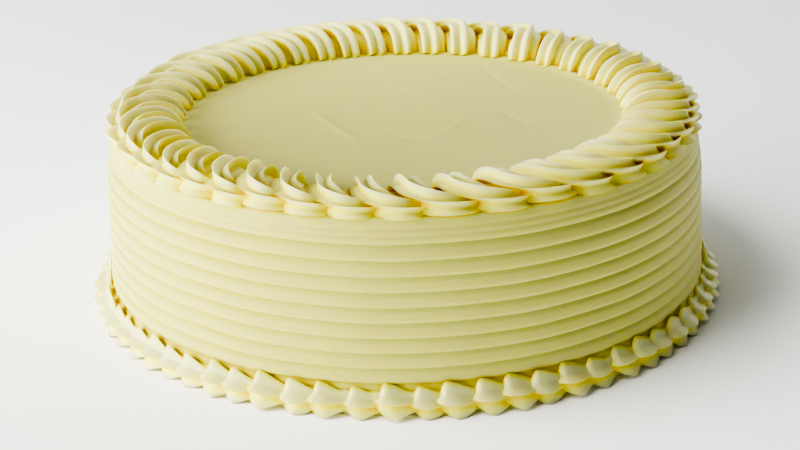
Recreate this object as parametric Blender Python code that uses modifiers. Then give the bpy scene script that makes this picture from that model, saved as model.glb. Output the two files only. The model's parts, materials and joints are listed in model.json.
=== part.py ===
# A round layer cake iced in pale yellow buttercream. Its wall is combed into level ridges
# under a smooth band, its top is a flat disc, a rope of looped strands lies round the top
# edge, and small shells stand round the foot.
# Metres, +Z up. The cake stands on z = 0 and its axis is Z. Angles grow counter-clockwise
# seen from above, which is the way both borders were piped.

import math
import random

import bmesh
import bpy
from mathutils import Vector

# Body
TOP_HEIGHT = 0.0688
WALL_RADIUS = 0.1175
WALL_SPREAD = 0.0445
SHOULDER_START = 0.050
SHOULDER_DRAW_IN = 0.0028
SHOULDER_POWER = 1.5
EDGE_ROUNDING = 0.0012
BODY_STEPS = 56

# Comb ridges in the wall
TOP_GROOVE_HEIGHT = 0.0595
GROOVE_PITCH = 0.0055
GROOVE_COUNT = 9
GROOVE_DEPTH = 0.0012
RIDGE_SHARES = (0.22, 0.84)
RIDGE_DEPTHS = (0.45, 0.0)

# Rope border on the top edge
ROPE_COUNT = 44
ROPE_CREST_RADIUS = 0.1045
ROPE_CREST_HEIGHT = 0.0055
ROPE_INNER_REACH = 0.0120
ROPE_OUTER_REACH = 0.0062
ROPE_BULGE = 0.0070
ROPE_INNER_SWEEP = 0.0070
ROPE_OUTER_SWEEP = 0.0160
ROPE_INNER_DROP = 0.0030
ROPE_OUTER_DROP = 0.0052
STRAND_RADIUS = 0.0055
STRAND_END_SHARE = 0.78
STRAND_VALLEY_SHARE = 0.70
STRAND_RIB_ANGLES = (-72.0, -22.0, 26.0, 74.0)
STRAND_BASE_ANGLES = (130.0, -130.0)
STRAND_TILT_MIDDLE = 10.0
STRAND_TILT_SWING = 40.0
STRAND_TURNS = (-88.0, -44.0, 0.0, 46.0, 96.0)
ROPE_CORE = ((0.0910, 0.0003), (0.0940, 0.0030), (0.1035, 0.0050), (0.1095, 0.0036),
             (0.1120, 0.0003))
ROPE_FOOT = 0.0005
ROPE_UNEVENNESS = 0.0005

# Shell border round the foot
SHELL_COUNT = 70
SHELL_HEIGHT = 0.0115
SHELL_DEPTH = 0.0066
SHELL_UNEVENNESS = 0.07
SHELL_STATIONS = ((0.00, 0.62, 0.56), (0.10, 0.98, 0.98), (0.42, 0.90, 0.94), (0.96, 0.58, 0.60))
SHELL_OUTLINE = ((0.00, 0.92), (0.45, 1.00), (1.00, 0.06), (0.64, -0.42), (0.94, -1.00),
                 (0.00, -1.00))

# Space that touching pieces keep between them
PIECE_GAP = 0.0003
MERGE_DISTANCE = 0.00002
FLAT_ANGLE = 2.0
RANDOM_SEED = 7


def clear_scene():
    for thing in list(bpy.data.objects):
        bpy.data.objects.remove(thing, do_unlink=True)


def new_collection(name):
    collection = bpy.data.collections.new(name)
    bpy.context.scene.collection.children.link(collection)
    return collection


def icing_material(name, colour, roughness):
    material = bpy.data.materials.new(name)
    material.use_nodes = True
    shader = material.node_tree.nodes["Principled BSDF"]
    shader.inputs["Base Color"].default_value = colour + (1.0,)
    shader.inputs["Roughness"].default_value = roughness
    shader.inputs["Metallic"].default_value = 0.0
    return material


def wall_icing():
    return icing_material("combed_buttercream", (0.80, 0.76, 0.42), 0.50)


def rope_icing():
    return icing_material("piped_rope_buttercream", (0.85, 0.81, 0.45), 0.45)


def shell_icing():
    return icing_material("piped_shell_buttercream", (0.83, 0.78, 0.40), 0.45)


# The wall's crest radius at a height: it widens downwards and draws in at the shoulder
def wall_radius(height):
    radius = WALL_RADIUS + WALL_SPREAD * (TOP_GROOVE_HEIGHT - height)
    if height > SHOULDER_START:
        share = (height - SHOULDER_START) / (TOP_HEIGHT - SHOULDER_START)
        radius -= SHOULDER_DRAW_IN * share ** SHOULDER_POWER
    return radius


# The rounded edge between the flat top and the wall, from the top down
def edge_points():
    edge_radius = wall_radius(TOP_HEIGHT - EDGE_ROUNDING) - EDGE_ROUNDING
    points = []
    for step in range(3):
        turn = math.radians(90.0 - 45.0 * step)
        radius = edge_radius + EDGE_ROUNDING * math.cos(turn)
        height = TOP_HEIGHT - EDGE_ROUNDING + EDGE_ROUNDING * math.sin(turn)
        points.append((radius, height))
    return points


# Each comb groove is narrow, and the ridge under it swells out towards its lower edge
def comb_points():
    points = []
    for groove in range(GROOVE_COUNT):
        groove_height = TOP_GROOVE_HEIGHT - groove * GROOVE_PITCH
        points.append((wall_radius(groove_height) - GROOVE_DEPTH, groove_height))
        for share, depth in zip(RIDGE_SHARES, RIDGE_DEPTHS):
            height = groove_height - share * GROOVE_PITCH
            points.append((wall_radius(height) - depth * GROOVE_DEPTH, height))
    return points


def turned_object(name, points, closed, collection, material):
    mesh = bpy.data.meshes.new(name)
    corners = [(radius, 0.0, height) for radius, height in points]
    edges = [(index, index + 1) for index in range(len(points) - 1)]
    if closed:
        edges.append((len(points) - 1, 0))
    mesh.from_pydata(corners, edges, [])
    turned = bpy.data.objects.new(name, mesh)
    collection.objects.link(turned)
    screw = turned.modifiers.new("turn", "SCREW")
    screw.axis = "Z"
    screw.angle = math.tau
    screw.steps = BODY_STEPS
    screw.render_steps = BODY_STEPS
    screw.use_merge_vertices = True
    screw.merge_threshold = MERGE_DISTANCE
    screw.use_smooth_shade = True
    mesh.materials.append(material)
    return turned


def make_body(collection):
    points = [(0.0, TOP_HEIGHT)]
    points += edge_points()
    ridge_top = TOP_GROOVE_HEIGHT + (1.0 - RIDGE_SHARES[1]) * GROOVE_PITCH
    points.append((wall_radius(ridge_top), ridge_top))
    points += comb_points()
    points.append((wall_radius(0.0), 0.0))
    points.append((0.0, 0.0))
    return turned_object("cake_body", points, False, collection, wall_icing())


# A skin through rings of points: the first ring is extruded to each next one. It comes
# back round to its first ring, or its two ends are capped.
def loft(rings, name, collection, round_trip=False):
    build = bmesh.new()
    ring = [build.verts.new(point) for point in rings[0]]
    count = len(ring)
    edges = [build.edges.new((ring[i], ring[(i + 1) % count])) for i in range(count)]
    if not round_trip:
        build.faces.new(ring)
    further_rings = rings[1:] + rings[:1] if round_trip else rings[1:]
    for points in further_rings:
        grown = bmesh.ops.extrude_edge_only(build, edges=edges)["geom"]
        fresh = {item for item in grown if isinstance(item, bmesh.types.BMVert)}
        edges = [item for item in grown if isinstance(item, bmesh.types.BMEdge)
                 and item.verts[0] in fresh and item.verts[1] in fresh]
        ring = [next(edge.other_vert(vert) for edge in vert.link_edges
                     if edge.other_vert(vert) in fresh) for vert in ring]
        for vert, point in zip(ring, points):
            vert.co = point
    if round_trip:
        bmesh.ops.remove_doubles(build, verts=build.verts, dist=MERGE_DISTANCE)
    else:
        build.faces.new(ring)
    bmesh.ops.triangulate(build, faces=build.faces)
    bmesh.ops.recalc_face_normals(build, faces=build.faces)
    mesh = bpy.data.meshes.new(name)
    build.to_mesh(mesh)
    build.free()
    lofted = bpy.data.objects.new(name, mesh)
    collection.objects.link(lofted)
    return lofted


# A place on the cake from its angle, its distance along the border, its radius and height
def ring_place(angle, along, radius, height):
    turn = angle + along / radius
    return Vector((radius * math.cos(turn), radius * math.sin(turn), height))


# The star tip's outline on the side that shows, as (across, outwards) for a radius of 1
def star_outline():
    outline = []
    for index, angle in enumerate(STRAND_RIB_ANGLES):
        if index > 0:
            middle = math.radians((angle + STRAND_RIB_ANGLES[index - 1]) / 2.0)
            outline.append((STRAND_VALLEY_SHARE * math.sin(middle),
                            STRAND_VALLEY_SHARE * math.cos(middle)))
        rib = math.radians(angle)
        outline.append((math.sin(rib), math.cos(rib)))
    for angle in STRAND_BASE_ANGLES:
        base = math.radians(angle)
        outline.append((math.sin(base), math.cos(base)))
    return outline


# The middle line of one looped strand: from the inner foot, back and up over the crest,
# then forward and down to the outer foot
def strand_place(angle, turn, lift):
    swing = math.sin(turn)
    turned_back = 1.0 - math.cos(turn)
    if turn < 0.0:
        along = -ROPE_BULGE + ROPE_INNER_SWEEP * turned_back
        radius = ROPE_CREST_RADIUS + ROPE_INNER_REACH * swing
        height = ROPE_CREST_HEIGHT - ROPE_INNER_DROP * turned_back
    else:
        along = -ROPE_BULGE + ROPE_OUTER_SWEEP * turned_back
        radius = ROPE_CREST_RADIUS + ROPE_OUTER_REACH * swing
        height = ROPE_CREST_HEIGHT - ROPE_OUTER_DROP * turned_back
    return ring_place(angle, along, radius, TOP_HEIGHT + height + lift)


def make_strand(index, angle, size, lift, collection):
    outline = star_outline()
    rings = []
    for degrees in STRAND_TURNS:
        turn = math.radians(degrees)
        middle = strand_place(angle, turn, lift)
        step = 0.05
        ahead = strand_place(angle, turn + step, lift) - strand_place(angle, turn - step, lift)
        ahead.normalize()
        tilt = math.radians(STRAND_TILT_MIDDLE + STRAND_TILT_SWING * degrees / 90.0)
        outwards = Vector((middle.x, middle.y, 0.0)).normalized()
        up = outwards * math.sin(tilt) + Vector((0.0, 0.0, math.cos(tilt)))
        up = (up - ahead * up.dot(ahead)).normalized()
        across = up.cross(ahead)
        end_share = (abs(degrees) / 90.0) ** 2
        radius = STRAND_RADIUS * size * (1.0 - (1.0 - STRAND_END_SHARE) * end_share)
        ring = [middle + (across * side + up * rise) * radius for side, rise in outline]
        for point in ring:
            point.z = max(point.z, TOP_HEIGHT + ROPE_FOOT + abs(lift))
        rings.append(ring)
    return loft(rings, f"strand_{index:02d}", collection)


# Joins the pieces to the target, then clears edges that lie inside flat faces
def join_all(target, pieces):
    union = target.modifiers.new("join", "BOOLEAN")
    union.operation = "UNION"
    union.operand_type = "COLLECTION"
    union.collection = pieces
    union.solver = "MANIFOLD"
    depsgraph = bpy.context.evaluated_depsgraph_get()
    joined = bpy.data.meshes.new_from_object(target.evaluated_get(depsgraph))
    target.modifiers.clear()
    target.data = joined
    build = bmesh.new()
    build.from_mesh(joined)
    bmesh.ops.dissolve_limit(build, angle_limit=math.radians(FLAT_ANGLE), verts=build.verts,
                             edges=build.edges)
    bmesh.ops.triangulate(build, faces=build.faces)
    build.to_mesh(joined)
    build.free()
    for piece in list(pieces.objects):
        bpy.data.objects.remove(piece, do_unlink=True)
    bpy.data.collections.remove(pieces)


def make_top_border(collection):
    core = [(radius, TOP_HEIGHT + height) for radius, height in ROPE_CORE]
    border = turned_object("top_border", core, True, collection, rope_icing())
    strands = new_collection("rope_strands")
    draw = random.Random(RANDOM_SEED)
    for index in range(ROPE_COUNT):
        angle = math.tau * (index + 0.05 * draw.uniform(-1.0, 1.0)) / ROPE_COUNT
        size = 1.0 + 0.04 * draw.uniform(-1.0, 1.0)
        lift = ROPE_UNEVENNESS * draw.uniform(-1.0, 1.0)
        make_strand(index, angle, size, lift, strands)
    join_all(border, strands)
    return border


# One cross-section of the shell border, as shares of a shell's full height and depth.
# Its back follows the wall with a gap, and its foot lies flat.
def shell_section(angle, height_share, depth_share):
    half = 0.5 * SHELL_HEIGHT
    section = []
    for out, rise in SHELL_OUTLINE:
        height = half * (1.0 + rise * height_share)
        if rise == -1.0:
            height = 0.0
        radius = wall_radius(height) + PIECE_GAP + out * SHELL_DEPTH * depth_share
        section.append(ring_place(angle, 0.0, radius, height))
    return section


# Every shell starts with a steep fan of three petals and narrows to the tail that the
# next one covers. Together they are one closed ring.
def make_bottom_border(collection):
    draw = random.Random(RANDOM_SEED + 1)
    pitch = math.tau / SHELL_COUNT
    rings = []
    for index in range(SHELL_COUNT):
        size = 1.0 + SHELL_UNEVENNESS * draw.uniform(-1.0, 0.4)
        start = pitch * (index + 0.06 * draw.uniform(-1.0, 1.0))
        for along, height_share, depth_share in SHELL_STATIONS:
            angle = start + pitch * along
            rings.append(shell_section(angle, height_share * size, depth_share * size))
    border = loft(rings, "bottom_border", collection, True)
    border.data.materials.append(shell_icing())
    return border


def shade(piece):
    piece.data.shade_smooth()
    piece.data.set_sharp_from_angle(angle=math.radians(40.0))


def main():
    clear_scene()
    parts = new_collection("buttercream_cake")
    make_body(parts)
    shade(make_top_border(parts))
    shade(make_bottom_border(parts))


main()
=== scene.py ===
import json
import math
import random

import bmesh
import bpy
from mathutils import Matrix, Vector, noise
from mathutils.bvhtree import BVHTree

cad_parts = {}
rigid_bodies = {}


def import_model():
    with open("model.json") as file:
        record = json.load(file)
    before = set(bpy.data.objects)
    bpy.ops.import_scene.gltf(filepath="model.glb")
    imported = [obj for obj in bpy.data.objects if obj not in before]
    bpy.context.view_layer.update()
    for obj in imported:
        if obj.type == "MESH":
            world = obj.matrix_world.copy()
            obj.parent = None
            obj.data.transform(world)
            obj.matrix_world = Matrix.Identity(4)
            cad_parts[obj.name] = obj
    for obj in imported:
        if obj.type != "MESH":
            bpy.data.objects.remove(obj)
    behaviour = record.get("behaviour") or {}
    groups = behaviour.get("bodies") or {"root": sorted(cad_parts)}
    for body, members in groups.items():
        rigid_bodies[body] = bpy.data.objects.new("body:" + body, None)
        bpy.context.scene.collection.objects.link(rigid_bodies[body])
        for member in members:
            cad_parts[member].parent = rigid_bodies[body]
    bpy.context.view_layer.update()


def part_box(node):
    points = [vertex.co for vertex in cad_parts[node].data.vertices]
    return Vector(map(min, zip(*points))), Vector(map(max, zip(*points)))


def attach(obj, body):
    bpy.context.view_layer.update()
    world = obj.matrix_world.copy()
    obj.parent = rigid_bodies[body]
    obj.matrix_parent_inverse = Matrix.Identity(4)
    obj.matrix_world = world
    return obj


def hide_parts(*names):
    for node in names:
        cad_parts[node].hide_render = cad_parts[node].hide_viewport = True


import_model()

mm = 0.001
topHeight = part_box("cake_body")[1].z
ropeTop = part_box("top_border")[1].z
print("frame loaded, flat top at", round(topHeight, 4), "rope top at", round(ropeTop, 4))


# Small helpers

def linearColour(hexText):
    # sRGB hex to the linear values that the shader takes
    parts = [int(hexText[i:i + 2], 16) / 255 for i in (1, 3, 5)]
    return [p / 12.92 if p <= 0.04045 else ((p + 0.055) / 1.055) ** 2.4 for p in parts] + [1.0]


def smoothStep(low, high, value):
    share = min(max((value - low) / (high - low), 0.0), 1.0)
    return share * share * (3 - 2 * share)


def addNode(tree, kind, settings=None, inputs=None):
    # one node with its settings, and its sockets set to values or linked to other sockets
    node = tree.nodes.new(kind)
    for key, value in (settings or {}).items():
        setattr(node, key, value)
    for key, value in (inputs or {}).items():
        socket = node.inputs[key]
        if isinstance(value, bpy.types.NodeSocket):
            tree.links.new(value, socket)
        else:
            socket.default_value = value
    return node


def ringPlace(angle, along, radius, height):
    # a place from its angle, its distance along the ring, its radius and its height
    turn = angle + along / radius
    return Vector((radius * math.cos(turn), radius * math.sin(turn), height))


def loft(build, rings):
    # a closed skin: the first ring of points is extruded to each next one, and both ends capped
    ring = [build.verts.new(point) for point in rings[0]]
    count = len(ring)
    edges = [build.edges.new((ring[i], ring[(i + 1) % count])) for i in range(count)]
    build.faces.new(ring)
    for points in rings[1:]:
        grown = bmesh.ops.extrude_edge_only(build, edges=edges)["geom"]
        fresh = {item for item in grown if isinstance(item, bmesh.types.BMVert)}
        edges = [item for item in grown if isinstance(item, bmesh.types.BMEdge)
                 and item.verts[0] in fresh and item.verts[1] in fresh]
        ring = [next(edge.other_vert(vert) for edge in vert.link_edges
                     if edge.other_vert(vert) in fresh) for vert in ring]
        for vert, point in zip(ring, points):
            vert.co = point
    build.faces.new(ring)
    bmesh.ops.recalc_face_normals(build, faces=build.faces)


def spinCore(build, corners, steps):
    # a closed profile, given as (radius, height), spun into a ring
    verts = [build.verts.new((radius, 0.0, height)) for radius, height in corners]
    edges = [build.edges.new((vert, verts[(index + 1) % len(verts)]))
             for index, vert in enumerate(verts)]
    bmesh.ops.spin(build, geom=verts + edges, cent=(0, 0, 0), axis=(0, 0, 1),
                   angle=math.tau, steps=steps, use_merge=True, use_duplicate=False)
    bmesh.ops.recalc_face_normals(build, faces=build.faces)


def meshObject(name, build, group=None):
    mesh = bpy.data.meshes.new(name)
    build.to_mesh(mesh)
    build.free()
    piece = bpy.data.objects.new(name, mesh)
    (group or bpy.context.scene.collection).objects.link(piece)
    return piece


def newGroup(name):
    group = bpy.data.collections.new(name)
    bpy.context.scene.collection.children.link(group)
    return group


def joinAll(target, pieces):
    # one union of the target with every piece of a collection
    union = target.modifiers.new("join", "BOOLEAN")
    union.operation = "UNION"
    union.operand_type = "COLLECTION"
    union.collection = pieces
    union.solver = "MANIFOLD"
    graph = bpy.context.evaluated_depsgraph_get()
    joined = bpy.data.meshes.new_from_object(target.evaluated_get(graph))
    joined.name = target.name
    target.modifiers.clear()
    target.data = joined
    for piece in list(pieces.objects):
        bpy.data.objects.remove(piece, do_unlink=True)
    bpy.data.collections.remove(pieces)


def finishPiece(piece, nodeName, material, sharpAngle):
    piece.data.materials.clear()
    piece.data.materials.append(material)
    piece.data.shade_smooth()
    piece.data.set_sharp_from_angle(angle=math.radians(sharpAngle))
    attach(piece, "root")
    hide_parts(nodeName)
    corners = [Vector(corner) for corner in piece.bound_box]
    print(piece.name, len(piece.data.polygons), "faces, top",
          round(max(corner.z for corner in corners), 5))


# Materials

buttercream = {
    # painted light and shade: the spread and the piped icing are one buttercream, given a darker
    # colour on the wall and flat top and a lighter one in the rope and shells, for the extra light
    # the raised borders catch
    "spreadColour": "#E1E08C",
    "spreadPatchColour": "#E1DB82",
    # painted crease shade: deeper yellows that the occlusion mask paints into folds, crevices and
    # the joins between the pieces, for the shade and yellow bounced light there; each step gives a
    # mask value and the colour reached there
    "spreadFolds": ((0.04, None), (0.12, "#D9DC88"), (0.24, "#DCDA78"), (0.42, "#DED052")),
    "pipedColour": "#FDFABC",
    "pipedPatchColour": "#FDF6B0",
    # painted crease shade of the piped icing, as above
    "pipedFolds": ((0.05, None), (0.15, "#FDF7A4"), (0.28, "#FCEF6C"), (0.55, "#FBDC2C")),
    # the rays of the occlusion mask that places the painted crease shade
    "creaseShadeReach": 6 * mm,
    "creaseShadeRays": 16,
    "creaseShadeRayTurn": 2.399963,
    "creaseShadeStart": 0.2 * mm,
    "creaseShadeSmoothing": 2,
    "spreadGloss": 0.1,
    "pipedGloss": 0.45,
    "roughness": 0.40,
    "ior": 1.45,
    "scatterWeight": 1.0,
    "scatterScale": 1.6 * mm,
    "scatterRadius": (1.0, 0.80, 0.15),
    "patchSize": 14 * mm,
    "grainSize": 0.9 * mm,
    "grainDepth": 0.03 * mm,
}


def markCreaseShade(pieces):
    # how deep each point lies in a fold or crevice, from 0 in the open to 1 where all round it is
    # near: a few fixed rays are cast outwards and the near hits counted, then evened with the
    # neighbours. This is an occlusion mask, stored on each piece, by which the icing paints crease
    # shade
    reach = buttercream["creaseShadeReach"]
    points, faces = [], []
    for piece in pieces:
        first = len(points)
        points += [vert.co for vert in piece.data.vertices]
        faces += [[first + corner for corner in face.vertices] for face in piece.data.polygons]
    tree = BVHTree.FromPolygons(points, faces)
    count = buttercream["creaseShadeRays"]
    rays = []
    for index in range(count):
        lean = math.sqrt((index + 0.5) / count)
        turn = index * buttercream["creaseShadeRayTurn"]
        rays.append((lean * math.cos(turn), lean * math.sin(turn), math.sqrt(1 - lean * lean)))
    for piece in pieces:
        values = []
        for vert in piece.data.vertices:
            normal = vert.normal
            side = normal.orthogonal().normalized()
            other = normal.cross(side)
            start = vert.co + normal * buttercream["creaseShadeStart"]
            total = 0.0
            for x, y, z in rays:
                distance = tree.ray_cast(start, side * x + other * y + normal * z, reach)[3]
                if distance is not None:
                    total += 1 - (distance / reach) ** 2
            values.append(total / count)
        for smoothing in range(buttercream["creaseShadeSmoothing"]):
            sums, numbers = list(values), [1] * len(values)
            for edge in piece.data.edges:
                one, two = edge.vertices
                sums[one] += values[two]
                sums[two] += values[one]
                numbers[one] += 1
                numbers[two] += 1
            values = [total / number for total, number in zip(sums, numbers)]
        creaseShade = piece.data.attributes.new("creaseShade", "FLOAT", "POINT")
        creaseShade.data.foreach_set("value", values)


def makeButtercream(name, way):
    # whipped buttercream, spread or piped: soft satin gloss, and light that sinks in and comes
    # back yellower;
    # over this, painted shade: the colour moves to deeper, darker yellows where the occlusion mask
    # finds folds and crevices
    look = buttercream
    material = bpy.data.materials.new(name)
    material.use_nodes = True
    tree = material.node_tree
    tree.nodes.clear()
    place = addNode(tree, "ShaderNodeTexCoord")
    patches = addNode(tree, "ShaderNodeTexNoise", {"noise_dimensions": "3D"},
                      {"Vector": place.outputs["Object"], "Scale": 1 / look["patchSize"],
                       "Detail": 3.0, "Roughness": 0.5})
    # the base colour, darker for spread and lighter for piped icing as painted light, with patches
    # of random tone
    tint = addNode(tree, "ShaderNodeMix", {"data_type": "RGBA"},
                   {"Factor": patches.outputs["Fac"], "A": linearColour(look[way + "Colour"]),
                    "B": linearColour(look[way + "PatchColour"])})
    # painted shade: step by step the colour goes to deeper yellows as the occlusion mask rises in
    # folds and crevices
    creaseShade = addNode(tree, "ShaderNodeAttribute", {"attribute_name": "creaseShade"})
    creaseShades = look[way + "Folds"]
    for (shallow, skipped), (deep, colour) in zip(creaseShades, creaseShades[1:]):
        depth = addNode(tree, "ShaderNodeMapRange", {},
                        {"Value": creaseShade.outputs["Fac"], "From Min": shallow, "From Max": deep})
        tint = addNode(tree, "ShaderNodeMix", {"data_type": "RGBA"},
                       {"Factor": depth.outputs["Result"], "A": tint.outputs["Result"],
                        "B": linearColour(colour)})
    grain = addNode(tree, "ShaderNodeTexNoise", {"noise_dimensions": "3D"},
                    {"Vector": place.outputs["Object"], "Scale": 1 / look["grainSize"],
                     "Detail": 2.0, "Roughness": 0.6})
    bump = addNode(tree, "ShaderNodeBump", {},
                   {"Height": grain.outputs["Fac"], "Distance": look["grainDepth"],
                    "Strength": 1.0})
    shader = addNode(tree, "ShaderNodeBsdfPrincipled", {"subsurface_method": "RANDOM_WALK"},
                     {"Base Color": tint.outputs["Result"], "Roughness": look["roughness"],
                      "IOR": look["ior"], "Specular IOR Level": look[way + "Gloss"],
                      "Subsurface Weight": look["scatterWeight"],
                      "Subsurface Radius": look["scatterRadius"],
                      "Subsurface Scale": look["scatterScale"],
                      "Normal": bump.outputs["Normal"]})
    addNode(tree, "ShaderNodeOutputMaterial", {}, {"Surface": shader.outputs["BSDF"]})
    return material


# Iced body: combed wall, smooth band, rounded edge and flat top

body = {
    "topGroove": 59.5 * mm,
    "groovePitch": 5.5 * mm,
    "grooveDepth": 1.25 * mm,
    "grooves": 10,
    "pointsPerGroove": 11,
    "notchWidth": 0.95 * mm,
    "notchShare": 0.62,
    "swellPower": 1.6,
    "swellEnd": 0.12,
    "wallRadius": 117.5 * mm,
    "wallSpread": 0.0445,
    "shoulderStart": 50 * mm,
    "shoulderDrawIn": 2.8 * mm,
    "shoulderPower": 1.5,
    "edgeRounding": 1.2 * mm,
    "edgeSteps": 6,
    "bandGap": 0.4 * mm,
    "bandRings": 18,
    "worn": {"share": 0.38, "start": -58, "fullStart": -28, "fullEnd": 0, "end": 30},
    "deep": {"share": 0.5, "start": -95, "full": -125},
    "discRing": 1.1 * mm,
    "steps": 330,
    "sharpAngle": 60,
    "faintLines": ((62.4 * mm, 0.25 * mm), (65.0 * mm, 0.18 * mm)),
    "faintLineWidth": 0.7 * mm,
    "wallTurns": 3.2,
    "ringShift": 0.35 * mm,
    "ringShiftRise": 45 * mm,
    "wallWaver": 0.30 * mm,
    "wallWaverTurns": 1.4,
    "wallWaverRise": 28 * mm,
    "wallRipple": 0.07 * mm,
    "wallRippleTurns": 26,
    "wallRippleRise": 1.6 * mm,
    "wallInset": 0.25 * mm,
    "discWaver": 0.25 * mm,
    "discWaverSize": 38 * mm,
    "discInset": 0.12 * mm,
    "discEdge": (112 * mm, 104 * mm),
    "smear": {"start": -45, "end": 65, "fade": 25, "radius": 87.6 * mm, "width": 2.4 * mm,
              "height": 0.9 * mm, "waver": 1.5 * mm, "waverSize": 16 * mm},
    "strokeBend": 0.03,
}

# faint strokes that the palette knife left on the flat top: both ends, height and width
knifeStrokes = (
    ((-36 * mm, 6 * mm), (-15 * mm, -36 * mm), 0.30 * mm, 2.0 * mm),
    ((10 * mm, -34 * mm), (26 * mm, -8 * mm), 0.28 * mm, 1.9 * mm),
    ((-5 * mm, -27 * mm), (8 * mm, -37 * mm), -0.26 * mm, 1.7 * mm),
    ((34 * mm, 63 * mm), (48 * mm, 23 * mm), -0.32 * mm, 1.7 * mm),
    ((38 * mm, 0 * mm), (50 * mm, -22 * mm), -0.32 * mm, 1.7 * mm),
)


def wallRadius(height):
    radius = body["wallRadius"] + body["wallSpread"] * (body["topGroove"] - height)
    if height > body["shoulderStart"]:
        share = (height - body["shoulderStart"]) / (topHeight - body["shoulderStart"])
        radius -= body["shoulderDrawIn"] * share ** body["shoulderPower"]
    return radius


def ridgeDepth(share):
    # how far the wall lies in, from one groove (0) down to the next (1): a narrow notch, and
    # below it a slow swell outwards
    aside = min(share, 1 - share) * body["groovePitch"] / body["notchWidth"]
    notch = math.exp(-aside * aside)
    swell = 1.0
    if share > 0:
        swell = (1 - share) ** body["swellPower"] * smoothStep(0.0, body["swellEnd"], 1 - share)
    return body["notchShare"] * notch + (1 - body["notchShare"]) * swell


def bodyProfile():
    points = []
    edgeRadius = wallRadius(topHeight - body["edgeRounding"]) - body["edgeRounding"]
    rings = int(edgeRadius / body["discRing"])
    for ring in range(rings):
        points.append((edgeRadius * ring / rings, topHeight))
    for step in range(body["edgeSteps"] + 1):
        turn = math.radians(90 - 90 / body["edgeSteps"] * step)
        points.append((edgeRadius + body["edgeRounding"] * math.cos(turn),
                       topHeight - body["edgeRounding"] * (1 - math.sin(turn))))
    pitch = body["groovePitch"]
    bandTop = topHeight - body["edgeRounding"] - body["bandGap"]
    bandLow = body["topGroove"] + 0.5 * pitch
    for ring in range(body["bandRings"]):
        height = bandTop + (bandLow - bandTop) * ring / body["bandRings"]
        dent = sum(depth * math.exp(-((height - line) / body["faintLineWidth"]) ** 2)
                   for line, depth in body["faintLines"])
        points.append((wallRadius(height) - dent, height))
    count = body["pointsPerGroove"]
    for step in range(count // 2 + 1, count * (body["grooves"] + 1)):
        share = step / count
        height = body["topGroove"] + pitch - share * pitch
        if height < 0.8 * mm:
            break
        depth = body["grooveDepth"] * ridgeDepth(share % 1.0) * smoothStep(0.3, 0.9, share)
        points.append((wallRadius(height) - depth, height))
    points.append((wallRadius(0.0) - 0.2 * mm, 0.0))
    points.append((wallRadius(0.0) * 0.5, 0.0))
    points.append((0.0, 0.0))
    return points


def strokeHeight(x, y):
    # the knife strokes' relief at a place on the flat top
    total = 0.0
    for (startX, startY), (endX, endY), height, width in knifeStrokes:
        runX, runY = endX - startX, endY - startY
        length = math.hypot(runX, runY)
        along = ((x - startX) * runX + (y - startY) * runY) / length
        aside = ((x - startX) * runY - (y - startY) * runX) / length
        share = along / length
        bend = body["strokeBend"] * length * math.sin(math.pi * min(max(share, 0.0), 1.0))
        ends = smoothStep(-0.1, 0.25, share) * smoothStep(1.1, 0.75, share)
        total += height * ends * math.exp(-((aside - bend) / width) ** 2)
    return total


def smearHeight(x, y):
    # a thin smear of icing along the rope's inner feet on one side
    smear = body["smear"]
    turn = math.degrees(math.atan2(y, x))
    ends = (smoothStep(smear["start"], smear["start"] + smear["fade"], turn)
            * smoothStep(smear["end"], smear["end"] - smear["fade"], turn))
    waver = smear["waver"] * noise.noise(Vector((x, y, 0.02)) / smear["waverSize"])
    aside = (math.hypot(x, y) - smear["radius"] - waver) / smear["width"]
    return smear["height"] * ends * math.exp(-aside * aside)


def discLift(x, y, radius):
    # how far the knife left the flat top above or below its mean height
    waver = body["discWaver"] * noise.noise(Vector((x, y, 0.0)) / body["discWaverSize"])
    return smoothStep(*body["discEdge"], radius) * (
        waver - body["discInset"] + strokeHeight(x, y) + smearHeight(x, y))


def wallRelief(place, radius):
    # the comb's unevenness at a place on the wall: the move up, and the move outwards
    x, y, z = place
    outwards = Vector((x / radius, y / radius, 0.0))
    around = outwards * body["wallTurns"]
    up = body["ringShift"] * noise.noise(around + Vector((0, 0, z / body["ringShiftRise"])))
    slow = around * body["wallWaverTurns"] + Vector((5, 1, z / body["wallWaverRise"]))
    quick = outwards * body["wallRippleTurns"] + Vector((9, 4, z / body["wallRippleRise"]))
    out = body["wallWaver"] * noise.noise(slow) + body["wallRipple"] * noise.noise(quick)
    return up, out - body["wallInset"]


def combWear(x, y):
    # the share of the groove depth that is filled on the worn side, negative on the deep one
    worn, deep = body["worn"], body["deep"]
    turn = math.degrees(math.atan2(y, x))
    filled = worn["share"] * smoothStep(worn["start"], worn["fullStart"], turn)
    filled *= smoothStep(worn["end"], worn["fullEnd"], turn)
    return filled - deep["share"] * smoothStep(deep["start"], deep["full"], turn)


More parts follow.
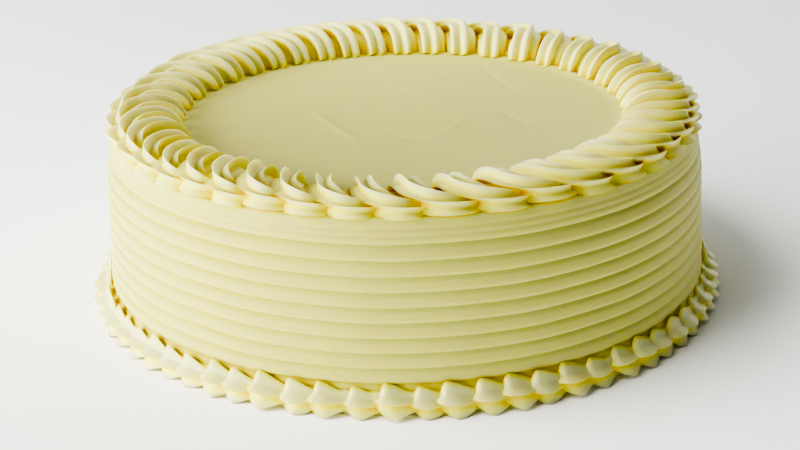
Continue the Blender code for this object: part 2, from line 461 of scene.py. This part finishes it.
def makeBody():
    build = bmesh.new()
    verts = [build.verts.new((radius, 0.0, height)) for radius, height in bodyProfile()]
    edges = [build.edges.new(pair) for pair in zip(verts, verts[1:])]
    bmesh.ops.spin(build, geom=verts + edges, cent=(0, 0, 0), axis=(0, 0, 1),
                   angle=math.tau, steps=body["steps"], use_merge=True, use_duplicate=False)
    bmesh.ops.remove_doubles(build, verts=build.verts, dist=0.005 * mm)
    for vert in build.verts:
        x, y, z = vert.co
        radius = math.hypot(x, y)
        if radius < 1 * mm or z < 0.1 * mm:
            continue
        if z > topHeight - 0.1 * mm:
            vert.co.z += discLift(x, y, radius)
            continue
        outwards = Vector((x / radius, y / radius, 0.0))
        up, out = wallRelief((x, y, z), radius)
        if z < body["topGroove"] + body["groovePitch"]:
            vert.co += outwards * combWear(x, y) * max(wallRadius(z) - radius, 0.0)
        low = smoothStep(0.0, 6 * mm, z)
        high = smoothStep(topHeight, topHeight - 4 * mm, z)
        vert.co.z += up * low * high
        vert.co += outwards * out * low
    bmesh.ops.recalc_face_normals(build, faces=build.faces)
    piece = meshObject("iced_body", build)
    icing = makeButtercream("spread_buttercream", "spread")
    finishPiece(piece, "cake_body", icing, body["sharpAngle"])
    return piece


# Rope border: looped strands from an open star tip, each over the last one's end

rope = {
    "units": 44,
    "ribs": 6,
    "startAngle": 0.33,
    "tipShift": -1.11,
    "spacing": ((1, -0.98, -1.91), (2, -0.15, -0.65), (3, -0.82, -2.12)),
    "ribPhase": -17,
    "fluteDepth": 0.56,
    "fluteShape": 0.64,
    "backFluteDepth": 0.36,
    "backFluteShape": 2.2,
    "pointsPerRib": 10,
    "middleRadius": 101.0 * mm,
    "reach": 10.8 * mm,
    "backTurn": -83,
    "sweep": 3.85 * mm,
    "moreSweep": 10.1 * mm,
    "crestTurn": -10,
    "crestHeight": 4.5 * mm,
    "innerDrop": 8.5 * mm,
    "outerDrop": 2.3 * mm,
    "strandRadius": 5.5 * mm,
    "innerEndShare": 0.90,
    "outerEndShare": 0.85,
    "tiltMiddle": 15,
    "innerTilt": 10,
    "outerTilt": -47,
    "turnStart": -98,
    "turnEnd": 127,
    "taperPower": 2.4,
    "aheadStep": 0.03,
    "rings": 32,
    "sink": 0.35 * mm,
    "lip": {"start": 112.5 * mm, "end": 115 * mm, "drop": 1.3 * mm},
    "core": ((91.0, 0.2), (95.0, 2.2), (103.0, 3.6), (108.5, 3.4), (112.2, -0.6)),
    "coreSteps": 120,
    "sharpAngle": 45,
    "backSwell": 0.28,
    "unevenSize": 0.06,
    "unevenLift": 0.35 * mm,
    "unevenPlace": 0.03,
    "unevenTwist": 9,
    "seed": 7,
}


def unitPlace(share):
    # a unit's angle and how much longer than the mean it is: the hand that piped it sped up
    # and slowed down a little on its way round
    turn = math.tau * share + math.radians(rope["startAngle"])
    shift = rope["tipShift"]
    longer = 1.0
    for count, cosine, sine in rope["spacing"]:
        shift += cosine * math.cos(count * turn) + sine * math.sin(count * turn)
        longer += math.radians(count * (sine * math.cos(count * turn)
                                        - cosine * math.sin(count * turn)))
    return turn + math.radians(shift), longer


def strandPlace(angle, turn, size, lift, longer):
    # the middle line of one loop, from the inner foot back and up over the crest, then forward
    # and down to the outer foot
    side = "inner" if turn < math.radians(rope["crestTurn"]) else "outer"
    along = rope["sweep"] * longer * (1 - math.cos(turn - math.radians(rope["backTurn"])))
    if turn > 0:
        along += rope["moreSweep"] * longer * (1 - math.cos(turn))
    radius = rope["middleRadius"] + rope["reach"] * math.sin(turn)
    fall = 1 - math.cos(turn - math.radians(rope["crestTurn"]))
    height = (rope["crestHeight"] - rope[side + "Drop"] * fall) * size
    return ringPlace(angle, along, radius, topHeight + height + lift)


def starOutline(phase, depth, shape):
    # the tip's outline for a radius of 1, as (across, outwards)
    outline = []
    count = rope["ribs"] * rope["pointsPerRib"]
    for index in range(count):
        turn = math.tau * index / count
        wave = abs(math.sin(rope["ribs"] * turn / 2)) ** shape
        reach = 1 - depth * wave
        angle = turn + math.radians(phase)
        outline.append((reach * math.sin(angle), reach * math.cos(angle)))
    return outline


def makeStrand(index, angle, size, lift, longer, twist, strands):
    # one loop of the rope: the star outline carried along its middle line, its foot pressed flat
    lip = rope["lip"]
    back = (1 + math.sin(angle)) / 2
    depth = rope["fluteDepth"] + (rope["backFluteDepth"] - rope["fluteDepth"]) * back
    shape = rope["fluteShape"] + (rope["backFluteShape"] - rope["fluteShape"]) * back
    outline = starOutline(rope["ribPhase"] + twist, depth, shape)
    rings = []
    for ring in range(rope["rings"]):
        share = ring / (rope["rings"] - 1)
        degrees = rope["turnStart"] + (rope["turnEnd"] - rope["turnStart"]) * share
        turn = math.radians(degrees)
        middle = strandPlace(angle, turn, size, lift, longer)
        ahead = (strandPlace(angle, turn + rope["aheadStep"], size, lift, longer)
                 - strandPlace(angle, turn - rope["aheadStep"], size, lift, longer)).normalized()
        side = "inner" if degrees < 0 else "outer"
        tilt = math.radians(rope["tiltMiddle"] + rope[side + "Tilt"] * degrees / 90)
        outwards = Vector((middle.x, middle.y, 0)).normalized()
        up = outwards * math.sin(tilt) + Vector((0, 0, math.cos(tilt)))
        up = (up - ahead * up.dot(ahead)).normalized()
        across = up.cross(ahead)
        radius = rope["strandRadius"] * size
        radius *= 1 - (1 - rope[side + "EndShare"]) * (abs(degrees) / 90) ** rope["taperPower"]
        points = [middle + (across * aside + up * rise) * radius for aside, rise in outline]
        for point in points:
            away = math.hypot(point.x, point.y)
            fall = lip["drop"] * smoothStep(lip["start"], lip["end"], away)
            point.z = max(point.z, topHeight - rope["sink"] - fall)
        rings.append(points)
    build = bmesh.new()
    loft(build, rings)
    meshObject(f"strand{index}", build, strands)


def makeRope():
    build = bmesh.new()
    corners = [(radius * mm, topHeight + height * mm) for radius, height in rope["core"]]
    spinCore(build, corners, rope["coreSteps"])
    piece = meshObject("rope_border", build)
    strands = newGroup("strands")
    draw = random.Random(rope["seed"])
    for index in range(rope["units"]):
        place = index + rope["unevenPlace"] * draw.uniform(-1, 1)
        angle, longer = unitPlace(place / rope["units"])
        size = 1 + rope["backSwell"] * (1 + math.sin(angle)) / 2
        size *= 1 + rope["unevenSize"] * draw.uniform(-1, 0.6)
        lift = rope["unevenLift"] * draw.uniform(-1, 0.3)
        twist = rope["unevenTwist"] * draw.uniform(-1, 1)
        makeStrand(index, angle, size, lift, longer, twist, strands)
    joinAll(piece, strands)
    icing = makeButtercream("piped_rope_buttercream", "piped")
    finishPiece(piece, "top_border", icing, rope["sharpAngle"])
    return piece


# Shell border: small star-tip shells round the foot, each nose over the last one's tail

shells = {
    "units": 70,
    "ribs": ((93, 1.0), (3, 1.03), (-37, 1.30), (-95, 0.80), (-160, 0.6), (155, 0.75)),
    "fluteDepth": 0.47,
    "fluteShape": 0.72,
    "pointsPerRib": 8,
    "length": 15.2 * mm,
    "radius": 6.3 * mm,
    "height": 5.0 * mm,
    "standOff": 0.7 * mm,
    "tipShare": 0.38,
    "nose": 1.8 * mm,
    "nosePower": 3,
    "droop": 0.6 * mm,
    "wallSink": 0.8 * mm,
    "footGap": 0.05 * mm,
    "upper": ((0.0, 0.34), (0.05, 0.82), (0.12, 1.02), (0.30, 0.90), (0.55, 0.66),
              (0.78, 0.46), (1.0, 0.30)),
    "lower": ((0.0, 0.26), (0.12, 0.56), (0.26, 0.86), (0.38, 1.02), (0.52, 0.84),
              (0.72, 0.58), (1.0, 0.28)),
    "rings": 15,
    "ringPower": 1.25,
    "core": ((-1.5, 0.1), (-1.5, 8.2), (0.3, 7.6), (2.3, 4.4), (1.6, 0.1)),
    "coreSteps": 140,
    "sharpAngle": 45,
    "unevenSize": 0.11,
    "unevenPlace": 0.12,
    "unevenTwist": 12,
    "seed": 8,
}


def tableValue(table, share):
    # the value at a share of the way along a table of (share, value) pairs
    for (low, first), (high, second) in zip(table, table[1:]):
        if share <= high:
            return first + (second - first) * (share - low) / (high - low)
    return table[-1][1]


def shellOutline(twist):
    # the ribs at their own angles and reaches, spread where the foot is pressed flat, with a
    # flute between each two
    outline = []
    ribs = shells["ribs"]
    for index, (first, firstReach) in enumerate(ribs):
        second, secondReach = ribs[(index + 1) % len(ribs)]
        turn = (first - second) % 360
        for step in range(shells["pointsPerRib"]):
            share = step / shells["pointsPerRib"]
            reach = firstReach + (secondReach - firstReach) * share
            reach *= 1 - shells["fluteDepth"] * math.sin(math.pi * share) ** shells["fluteShape"]
            angle = math.radians(first - turn * share + twist)
            outline.append((reach * math.cos(angle), reach * math.sin(angle)))
    return outline


def makeShell(index, angle, size, twist, group):
    # one shell: the ribbed outline swells and tapers along the ring, its back sunk in the wall
    outline = shellOutline(twist)
    rings = []
    for ring in range(shells["rings"]):
        share = (ring / (shells["rings"] - 1)) ** shells["ringPower"]
        upper = tableValue(shells["upper"], share)
        lower = tableValue(shells["lower"], share)
        points = []
        for out, rise in outline:
            reach = math.hypot(out, rise)
            above = 0.5 + 0.5 * rise / reach
            radius = shells["radius"] * size * (lower + (upper - lower) * above)
            nose = shells["nose"] * max(out / reach, 0.0) ** shells["nosePower"]
            nose *= (1 - share) ** shells["nosePower"]
            along = (share - shells["tipShare"]) * shells["length"] * size - nose
            height = shells["height"] * size - shells["droop"] * share
            middle = wallRadius(height) + shells["standOff"]
            point = ringPlace(angle, along, middle + out * radius, height + rise * radius)
            away = math.hypot(point.x, point.y)
            wall = wallRadius(max(point.z, 0)) - shells["wallSink"]
            if away < wall:
                point = Vector((point.x * wall / away, point.y * wall / away, point.z))
            point.z = max(point.z, shells["footGap"])
            points.append(point)
        rings.append(points)
    build = bmesh.new()
    loft(build, rings)
    meshObject(f"shell{index}", build, group)


def makeShells():
    build = bmesh.new()
    foot = wallRadius(0)
    corners = [(foot + out * mm, height * mm) for out, height in shells["core"]]
    spinCore(build, corners, shells["coreSteps"])
    piece = meshObject("shell_border", build)
    group = newGroup("shells")
    draw = random.Random(shells["seed"])
    for index in range(shells["units"]):
        place = index + shells["unevenPlace"] * draw.uniform(-1, 1)
        size = 1 + shells["unevenSize"] * draw.uniform(-1, 0.5)
        twist = shells["unevenTwist"] * draw.uniform(-1, 1)
        makeShell(index, math.tau * place / shells["units"], size, twist, group)
    joinAll(piece, group)
    icing = makeButtercream("piped_shell_buttercream", "piped")
    finishPiece(piece, "bottom_border", icing, shells["sharpAngle"])
    return piece


# Camera, floor and light

view = {
    "place": (0.0, -564.6 * mm, 248.1 * mm),
    "lens": 66.97,
    "sensor": 36.0,
    "yaw": -0.236,
    "pitch": 22.023,
    "roll": 1.484,
    "shiftY": 0.0019,
}


def makeCamera():
    data = bpy.data.cameras.new("camera")
    data.lens = view["lens"]
    data.sensor_width = view["sensor"]
    data.shift_y = view["shiftY"]
    data.clip_start, data.clip_end = 0.01, 20.0
    camera = bpy.data.objects.new("camera", data)
    bpy.context.scene.collection.objects.link(camera)
    camera.rotation_mode = "XYZ"
    turn = Matrix.Rotation(math.radians(-view["yaw"]), 4, "Z")
    tip = Matrix.Rotation(math.radians(90 - view["pitch"]), 4, "X")
    roll = Matrix.Rotation(math.radians(-view["roll"]), 4, "Z")
    camera.matrix_world = Matrix.Translation(view["place"]) @ turn @ tip @ roll
    bpy.context.scene.camera = camera


floorLook = {"colour": "#FAFBFC", "roughness": 0.7, "gloss": 0.1, "size": 6.0}


def makeFloor():
    build = bmesh.new()
    bmesh.ops.create_grid(build, x_segments=8, y_segments=8, size=floorLook["size"] / 2)
    floor = meshObject("floor", build)
    # uncoated paper: pale and matte, with hardly any sheen
    material = bpy.data.materials.new("matte_white_paper")
    material.use_nodes = True
    shader = material.node_tree.nodes["Principled BSDF"]
    shader.inputs["Base Color"].default_value = linearColour(floorLook["colour"])
    shader.inputs["Roughness"].default_value = floorLook["roughness"]
    shader.inputs["Specular IOR Level"].default_value = floorLook["gloss"]
    floor.data.materials.append(material)
    return floor


lights = {
    "window": {"azimuth": -163, "elevation": 19, "distance": 1.3, "width": 1.5, "height": 0.6,
               "power": 25.5},
    "floorWindow": {"azimuth": -170, "elevation": 58, "distance": 1.7, "width": 1.2, "height": 0.8,
                   "power": 22.0},
    "backGlow": {"azimuth": 60, "elevation": 20, "distance": 1.5, "width": 1.2, "height": 1.2,
                 "power": 5.4},
    "topGlow": {"azimuth": 95, "elevation": 56, "distance": 0.23, "width": 0.2, "height": 0.1,
                "power": 0.17},
    "aimHeight": 0.04,
    "colour": "#FFFEFA",
    "skyColour": "#E9EEF4",
    "skyStrength": 0.135,
}


def areaLight(name):
    look = lights[name]
    turn, rise = math.radians(look["azimuth"]), math.radians(look["elevation"])
    away = Vector((math.cos(turn) * math.cos(rise), math.sin(turn) * math.cos(rise),
                   math.sin(rise)))
    data = bpy.data.lights.new(name, "AREA")
    data.shape = "RECTANGLE"
    data.size = look["width"]
    data.size_y = look["height"]
    data.energy = look["power"]
    data.color = linearColour(lights["colour"])[:3]
    lamp = bpy.data.objects.new(name, data)
    bpy.context.scene.collection.objects.link(lamp)
    lamp.location = Vector((0, 0, lights["aimHeight"])) + away * look["distance"]
    lamp.rotation_euler = (-away).to_track_quat("-Z", "Y").to_euler()
    return lamp


def makeLights(floor):
    # a soft window from the left, a higher one for the floor alone that keeps it pale, a weak
    # glow from the back right, a small one close over the back of the rope, and a weak even sky
    areaLight("window")
    areaLight("backGlow")
    areaLight("topGlow")
    floorLamp = areaLight("floorWindow")
    floorOnly = bpy.data.collections.new("floor_only")
    floorOnly.objects.link(floor)
    floorLamp.light_linking.receiver_collection = floorOnly
    world = bpy.data.worlds.new("studio")
    world.use_nodes = True
    sky = world.node_tree.nodes["Background"]
    sky.inputs["Color"].default_value = linearColour(lights["skyColour"])
    sky.inputs["Strength"].default_value = lights["skyStrength"]
    bpy.context.scene.world = world
    bpy.context.scene.view_settings.view_transform = "AgX"
    bpy.context.scene.view_settings.look = "AgX - Very High Contrast"


makeCamera()
makeLights(makeFloor())
print("camera, floor and light set")
# the occlusion mask for the painted crease shade, cast over the body, rope and shells together, so
# that the joins between them are painted too
markCreaseShade([makeBody(), makeRope(), makeShells()])
print("folds marked")
